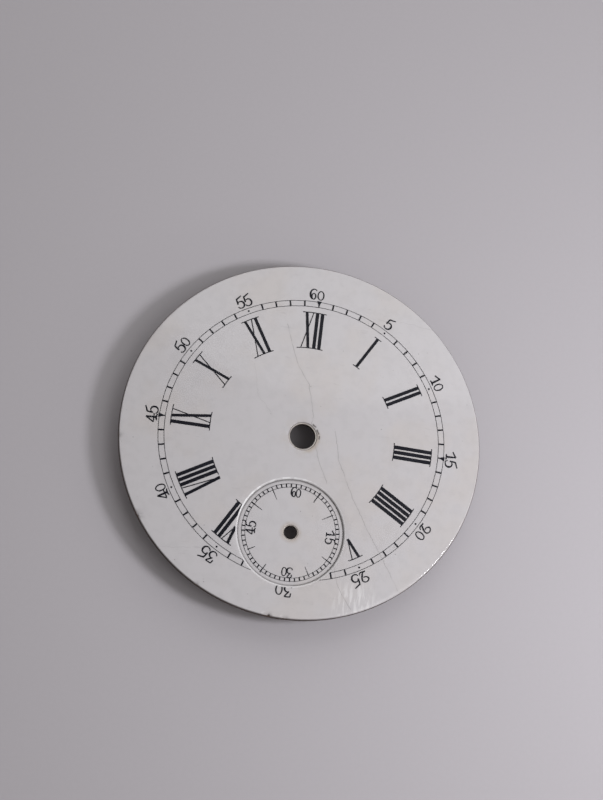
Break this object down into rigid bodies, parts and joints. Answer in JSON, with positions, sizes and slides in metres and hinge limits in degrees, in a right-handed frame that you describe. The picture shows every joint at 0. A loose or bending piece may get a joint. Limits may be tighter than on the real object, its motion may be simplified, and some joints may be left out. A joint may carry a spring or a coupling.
{
  "type": "enamel watch dial",
  "caption": "Domed white enamel watch dial with Roman hours, a minute track, a sunk seconds dial and copper feet; it covers the movement's front plate.",
  "frame": {"origin": "where the centre hole's axis meets the surface that the tips of the feet stand on", "axes": "+Z out of the face, +Y towards 60 minutes, +X towards 15 minutes"},
  "size_m": [0.043, 0.043, 0.0039],
  "materials": {
    "white_enamel": "gloss",
    "counter_enamel": "satin",
    "copper_plate": "satin",
    "copper_wire": "satin",
    "braze": "satin",
    "soft_solder": "satin",
    "black_print": "gloss"
  },
  "bodies": {
    "root": {"dial_enamel_back": "counter_enamel", "dial_enamel_front": "white_enamel", "dial_foot_left": "copper_wire", "dial_foot_lower_right": "copper_wire", "dial_foot_upper_right": "copper_wire", "dial_plate": "copper_plate", "five_minute_dots": "black_print", "five_second_marks": "black_print", "foot_braze_left": "braze", "foot_braze_lower_right": "braze", "foot_braze_upper_right": "braze", "hour_numeral_i": "black_print", "hour_numeral_ii": "black_print", "hour_numeral_iii": "black_print", "hour_numeral_iiii": "black_print", "hour_numeral_ix": "black_print", "hour_numeral_v": "black_print", "hour_numeral_vii": "black_print", "hour_numeral_viii": "black_print", "hour_numeral_x": "black_print", "hour_numeral_xi": "black_print", "hour_numeral_xii": "black_print", "minute_numeral_05": "black_print", "minute_numeral_10": "black_print", "minute_numeral_15": "black_print", "minute_numeral_20": "black_print", "minute_numeral_25": "black_print", "minute_numeral_30": "black_print", "minute_numeral_35": "black_print", "minute_numeral_40": "black_print", "minute_numeral_45": "black_print", "minute_numeral_50": "black_print", "minute_numeral_55": "black_print", "minute_numeral_60": "black_print", "minute_ticks": "black_print", "minute_track_circles": "black_print", "quarter_arrows": "black_print", "seconds_enamel_back": "counter_enamel", "seconds_enamel_front": "white_enamel", "seconds_numeral_15": "black_print", "seconds_numeral_30": "black_print", "seconds_numeral_45": "black_print", "seconds_numeral_60": "black_print", "seconds_plate": "copper_plate", "seconds_solder": "soft_solder", "seconds_ticks": "black_print", "seconds_track_circles": "black_print"}
  },
  "joints": []
}
